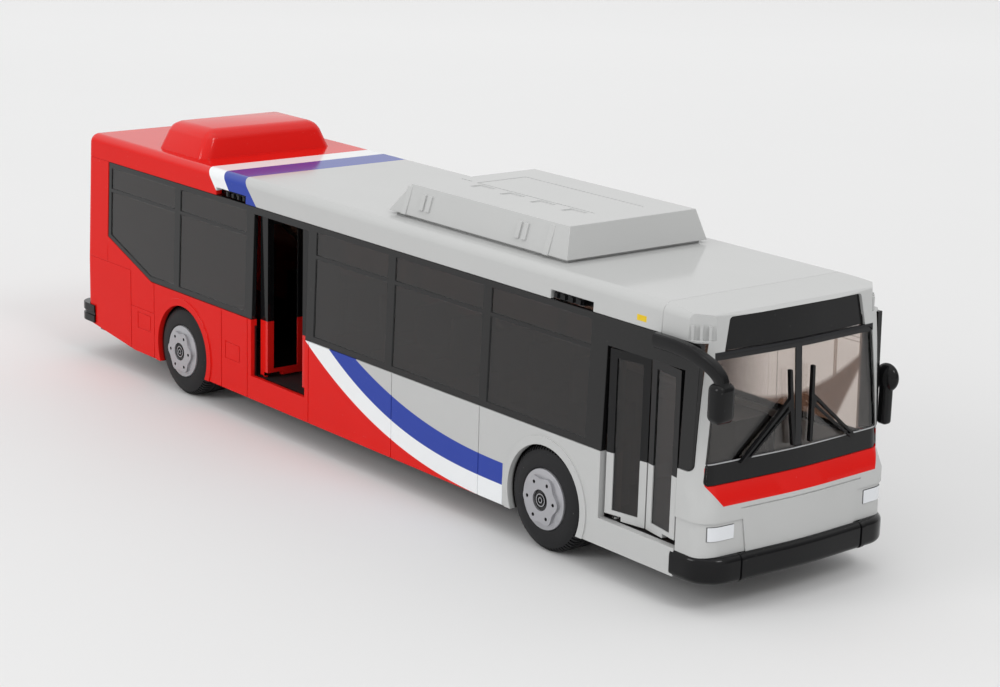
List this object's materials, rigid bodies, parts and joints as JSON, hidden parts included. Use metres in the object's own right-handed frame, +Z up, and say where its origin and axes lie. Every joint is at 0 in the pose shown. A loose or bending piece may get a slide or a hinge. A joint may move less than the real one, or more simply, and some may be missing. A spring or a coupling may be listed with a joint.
{
  "type": "toy city bus",
  "caption": "Plastic toy low-floor city bus with opening double doors worked by roof levers, free-rolling axles, smoked windows and roof units.",
  "frame": {"origin": "on the floor below the middle of the bus", "axes": "+X is the front of the bus, +Y its left side, +Z is up; the doors are on the -Y side"},
  "size_m": [0.2864, 0.071, 0.0782],
  "materials": {
    "body_paint": "gloss moulded red, painted silver, white and blue",
    "front_paint": "satin silver paint",
    "roof_unit_paint": "satin silver paint",
    "red_plastic": "gloss moulded red",
    "smoked_glass": "clear smoked plastic, painted black round the panes",
    "sign_black": "gloss black, blank",
    "black_plastic": "gloss moulded black",
    "headlight_white": "gloss white",
    "door_red": "smoked plastic with a red lower frame",
    "door_silver": "smoked plastic with a silver lower frame",
    "axle_steel": "bright steel",
    "tyre_rubber": "matt black rubber",
    "hub_silver": "satin silver paint"
  },
  "bodies": {
    "bus": {"roof_shell": "body_paint", "tail_shell": "body_paint", "side_wall_right": "body_paint", "side_wall_left": "body_paint", "window_band_right": "smoked_glass", "window_band_left": "smoked_glass", "front_mask": "front_paint", "windshield": "smoked_glass", "destination_sign": "sign_black", "wiper_right": "black_plastic", "wiper_left": "black_plastic", "headlight_right": "headlight_white", "headlight_left": "headlight_white", "front_bumper": "black_plastic", "rear_bumper": "black_plastic", "roof_unit_front": "roof_unit_paint", "roof_unit_rear": "red_plastic", "chassis": "black_plastic", "cabin_floor": "black_plastic", "seats_right": "black_plastic", "seats_left": "black_plastic", "mirror_right": "black_plastic", "mirror_left": "black_plastic"},
    "front_wheels": {"front_axle": "axle_steel", "front_tyre_right": "tyre_rubber", "front_tyre_left": "tyre_rubber", "front_hub_right": "hub_silver", "front_hub_left": "hub_silver"},
    "rear_wheels": {"rear_axle": "axle_steel", "rear_tyre_right": "tyre_rubber", "rear_tyre_left": "tyre_rubber", "rear_hub_right": "hub_silver", "rear_hub_left": "hub_silver"},
    "rear_door_back": {"rear_door_back_leaf": "door_red"},
    "rear_door_front": {"rear_door_front_leaf": "door_red"},
    "front_door_back": {"front_door_back_leaf": "door_silver"},
    "front_door_front": {"front_door_front_leaf": "door_silver"},
    "rear_lever": {"rear_door_lever": "black_plastic"},
    "front_lever": {"front_door_lever": "black_plastic"}
  },
  "joints": [
    {"name": "front_axle_roll", "type": "hinge", "parent": "bus", "child": "front_wheels", "pos_m": [0.08285, 0, 0.01317], "axis": [0, 1, 0], "continuous": true},
    {"name": "rear_axle_roll", "type": "hinge", "parent": "bus", "child": "rear_wheels", "pos_m": [-0.08195, 0, 0.01317], "axis": [0, 1, 0], "continuous": true},
    {"name": "rear_door_swing", "type": "hinge", "parent": "bus", "child": "rear_door_back", "pos_m": [-0.0436, -0.0266, 0.035], "axis": [0, 0, 1], "range_deg": [-90, 0]},
    {"name": "rear_door_swing_front", "type": "hinge", "parent": "bus", "child": "rear_door_front", "pos_m": [-0.0211, -0.0266, 0.035], "axis": [0, 0, 1], "range_deg": [0, 90]},
    {"name": "rear_lever_slide", "type": "slide", "parent": "bus", "child": "rear_lever", "axis": [1, 0, 0], "range_m": [-0.0044, 0]},
    {"name": "front_door_swing", "type": "hinge", "parent": "bus", "child": "front_door_back", "pos_m": [0.1045, -0.0266, 0.035], "axis": [0, 0, 1], "range_deg": [-10, 80]},
    {"name": "front_door_swing_front", "type": "hinge", "parent": "bus", "child": "front_door_front", "pos_m": [0.1264, -0.0266, 0.035], "axis": [0, 0, 1], "range_deg": [-80, 10]},
    {"name": "front_lever_slide", "type": "slide", "parent": "bus", "child": "front_lever", "axis": [1, 0, 0], "range_m": [-0.0005, 0.004]}
  ],
  "couplings": [
    {"joint": "rear_door_swing_front", "follows": "rear_door_swing", "ratio": -1},
    {"joint": "rear_lever_slide", "follows": "rear_door_swing", "m_per_rad": 0.0028},
    {"joint": "front_door_swing_front", "follows": "front_door_swing", "ratio": -1},
    {"joint": "front_lever_slide", "follows": "front_door_swing", "m_per_rad": 0.0028}
  ]
}
